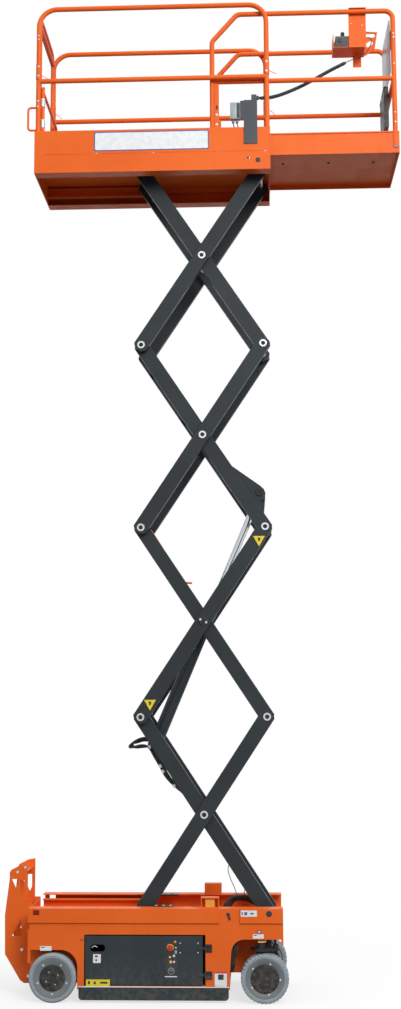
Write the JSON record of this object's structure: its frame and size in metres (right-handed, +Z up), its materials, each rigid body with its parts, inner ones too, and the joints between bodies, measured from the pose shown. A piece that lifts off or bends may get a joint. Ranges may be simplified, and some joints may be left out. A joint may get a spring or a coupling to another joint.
{
  "type": "self-propelled scissor lift",
  "caption": "Self-propelled slab scissor lift, raised: four-stage scissor stack, guard-railed platform with roll-out deck, steered wheels, service doors and rear ladder.",
  "frame": {"origin": "middle of the overall box in plan, on the floor", "axes": "+X driving direction (roll-out deck end), +Y left side, +Z up"},
  "size_m": [2.76, 0.756, 6.9295],
  "materials": {
    "orange_paint": "satin powder coat",
    "charcoal_paint": "satin powder coat",
    "dark_steel": "semi-matt",
    "grey_tyre": "matt non-marking rubber",
    "grey_rim": "satin",
    "bright_steel": "brushed",
    "chrome_rod": "polished",
    "black_plastic": "matt",
    "grey_plastic": "satin",
    "amber_lens": "gloss",
    "battery_case": "matt",
    "cord_jacket": "satin"
  },
  "bodies": {
    "chassis": {"chassis_frame": "orange_paint", "rear_ladder": "orange_paint", "scissor_base": "dark_steel", "front_axle_beam": "orange_paint", "rear_axle": "dark_steel", "battery_block": "battery_case", "hydraulic_block": "dark_steel", "beacon_guard_right": "orange_paint", "beacon_guard_left": "orange_paint", "beacon_lens_right": "amber_lens", "beacon_lens_left": "amber_lens", "door_hinges_right": "dark_steel", "door_hinges_left": "dark_steel"},
    "rear_wheel_right": {"tyre_rear_right": "grey_tyre", "rim_rear_right": "grey_rim"},
    "rear_wheel_left": {"tyre_rear_left": "grey_tyre", "rim_rear_left": "grey_rim"},
    "front_wheel_right": {"tyre_front_right": "grey_tyre", "rim_front_right": "grey_rim"},
    "front_wheel_left": {"tyre_front_left": "grey_tyre", "rim_front_left": "grey_rim"},
    "knuckle_right": {"knuckle_right": "dark_steel"},
    "knuckle_left": {"knuckle_left": "dark_steel"},
    "tie_rod": {"tie_rod": "dark_steel"},
    "door_right": {"door_right": "charcoal_paint", "ground_panel": "black_plastic"},
    "door_left": {"door_left": "charcoal_paint"},
    "pothole_guard_right": {"pothole_guard_right": "charcoal_paint"},
    "pothole_guard_left": {"pothole_guard_left": "charcoal_paint"},
    "inner_arms_1": {"inner_arms_1": "charcoal_paint"},
    "outer_arms_1": {"outer_arms_1": "charcoal_paint", "arm_pins_1": "bright_steel"},
    "inner_arms_2": {"inner_arms_2": "charcoal_paint"},
    "outer_arms_2": {"outer_arms_2": "charcoal_paint", "arm_pins_2": "bright_steel"},
    "inner_arms_3": {"inner_arms_3": "charcoal_paint"},
    "outer_arms_3": {"outer_arms_3": "charcoal_paint", "arm_pins_3": "bright_steel"},
    "inner_arms_4": {"inner_arms_4": "charcoal_paint"},
    "outer_arms_4": {"outer_arms_4": "charcoal_paint", "arm_pins_4": "bright_steel"},
    "lift_barrel": {"lift_barrel": "dark_steel"},
    "lift_rod": {"lift_rod": "chrome_rod"},
    "platform": {"platform_deck": "orange_paint", "main_rails": "orange_paint", "junction_bracket": "charcoal_paint", "junction_box": "grey_plastic", "control_cord_curl": "cord_jacket", "control_cord_lead": "cord_jacket"},
    "entry_gate": {"entry_gate": "orange_paint"},
    "roll_deck": {"roll_deck": "orange_paint", "roll_rails": "orange_paint", "document_box": "black_plastic", "control_guard": "orange_paint", "control_console": "black_plastic"}
  },
  "joints": [
    {"name": "rear_wheel_right_spin", "type": "hinge", "parent": "chassis", "child": "rear_wheel_right", "pos_m": [-1.025, -0.328, 0.1575], "axis": [0, 1, 0], "continuous": true},
    {"name": "steering_right", "type": "hinge", "parent": "chassis", "child": "knuckle_right", "pos_m": [0.345, -0.31, 0.38], "axis": [0, 0, 1], "range_deg": [-60, 60]},
    {"name": "front_wheel_right_spin", "type": "hinge", "parent": "knuckle_right", "child": "front_wheel_right", "pos_m": [0.367, -0.328, 0.1575], "axis": [0, 1, 0], "continuous": true},
    {"name": "door_right_swing", "type": "hinge", "parent": "chassis", "child": "door_right", "pos_m": [-0.02, -0.372, 0.271], "axis": [0, 0, 1], "range_deg": [0, 110]},
    {"name": "pothole_guard_right_fold", "type": "hinge", "parent": "chassis", "child": "pothole_guard_right", "pos_m": [-0.361, -0.356, 0.094], "axis": [1, 0, 0], "range_deg": [0, 80]},
    {"name": "rear_wheel_left_spin", "type": "hinge", "parent": "chassis", "child": "rear_wheel_left", "pos_m": [-1.025, 0.328, 0.1575], "axis": [0, 1, 0], "continuous": true},
    {"name": "steering_left", "type": "hinge", "parent": "chassis", "child": "knuckle_left", "pos_m": [0.345, 0.31, 0.38], "axis": [0, 0, 1], "range_deg": [-60, 60]},
    {"name": "front_wheel_left_spin", "type": "hinge", "parent": "knuckle_left", "child": "front_wheel_left", "pos_m": [0.367, 0.328, 0.1575], "axis": [0, 1, 0], "continuous": true},
    {"name": "door_left_swing", "type": "hinge", "parent": "chassis", "child": "door_left", "pos_m": [-0.02, 0.372, 0.271], "axis": [0, 0, -1], "range_deg": [0, 110]},
    {"name": "pothole_guard_left_fold", "type": "hinge", "parent": "chassis", "child": "pothole_guard_left", "pos_m": [-0.361, 0.356, 0.094], "axis": [-1, 0, 0], "range_deg": [0, 80]},
    {"name": "tie_rod_pin", "type": "hinge", "parent": "knuckle_right", "child": "tie_rod", "pos_m": [0.44, -0.31, 0.353], "axis": [0, 0, 1], "range_deg": [-60, 60]},
    {"name": "lift", "type": "hinge", "parent": "chassis", "child": "inner_arms_1", "pos_m": [0.401, 0, 0.54], "axis": [0, -1, 0], "range_deg": [0, 52.38]},
    {"name": "scissor_centre_1", "type": "hinge", "parent": "inner_arms_1", "child": "outer_arms_1", "pos_m": [-0.03, 0, 1.19071], "axis": [0, -1, 0], "range_deg": [-104.86, 0]},
    {"name": "scissor_left_1", "type": "hinge", "parent": "inner_arms_1", "child": "outer_arms_2", "pos_m": [-0.461, 0, 1.84141], "axis": [0, -1, 0], "range_deg": [-104.86, 0]},
    {"name": "scissor_centre_2", "type": "hinge", "parent": "outer_arms_2", "child": "inner_arms_2", "pos_m": [-0.03, 0, 2.49212], "axis": [0, -1, 0], "range_deg": [0, 104.86]},
    {"name": "scissor_left_2", "type": "hinge", "parent": "inner_arms_2", "child": "outer_arms_3", "pos_m": [-0.461, 0, 3.14283], "axis": [0, -1, 0], "range_deg": [-104.86, 0]},
    {"name": "scissor_centre_3", "type": "hinge", "parent": "outer_arms_3", "child": "inner_arms_3", "pos_m": [-0.03, 0, 3.79353], "axis": [0, -1, 0], "range_deg": [0, 104.86]},
    {"name": "scissor_left_3", "type": "hinge", "parent": "inner_arms_3", "child": "outer_arms_4", "pos_m": [-0.461, 0, 4.44424], "axis": [0, -1, 0], "range_deg": [-104.86, 0]},
    {"name": "scissor_centre_4", "type": "hinge", "parent": "outer_arms_4", "child": "inner_arms_4", "pos_m": [-0.03, 0, 5.09495], "axis": [0, -1, 0], "range_deg": [0, 104.86]},
    {"name": "platform_pivot", "type": "hinge", "parent": "outer_arms_4", "child": "platform", "pos_m": [0.401, 0, 5.74565], "axis": [0, -1, 0], "range_deg": [0, 52.48]},
    {"name": "cylinder_foot", "type": "hinge", "parent": "inner_arms_1", "child": "lift_barrel", "pos_m": [-0.37727, 0, 1.64619], "axis": [0, -1, 0], "range_deg": [-105.24, 0]},
    {"name": "cylinder_stroke", "type": "slide", "parent": "lift_barrel", "child": "lift_rod", "axis": [0.3897, 0, 0.9209], "range_m": [-0.73484, 0]},
    {"name": "deck_roll_out", "type": "slide", "parent": "platform", "child": "roll_deck", "axis": [1, 0, 0], "range_m": [-0.9, 0], "deforming": ["control_cord_curl", "control_cord_lead"]},
    {"name": "gate_swing", "type": "hinge", "parent": "platform", "child": "entry_gate", "pos_m": [-1.16, -0.345, 6.15], "axis": [0, 0, -1], "range_deg": [0, 90]}
  ],
  "couplings": [
    {"joint": "scissor_centre_1", "follows": "lift", "ratio": -2},
    {"joint": "scissor_left_1", "follows": "lift", "ratio": -2},
    {"joint": "scissor_centre_2", "follows": "lift", "ratio": 2},
    {"joint": "scissor_left_2", "follows": "lift", "ratio": -2},
    {"joint": "scissor_centre_3", "follows": "lift", "ratio": 2},
    {"joint": "scissor_left_3", "follows": "lift", "ratio": -2},
    {"joint": "scissor_centre_4", "follows": "lift", "ratio": 2},
    {"joint": "platform_pivot", "follows": "lift", "ratio": 1},
    {"joint": "cylinder_foot", "follows": "lift", "ratio": -2.0072},
    {"joint": "cylinder_stroke", "follows": "lift", "m_per_rad": -0.80271},
    {"joint": "steering_left", "follows": "steering_right", "ratio": 1},
    {"joint": "tie_rod_pin", "follows": "steering_right", "ratio": -1}
  ]
}
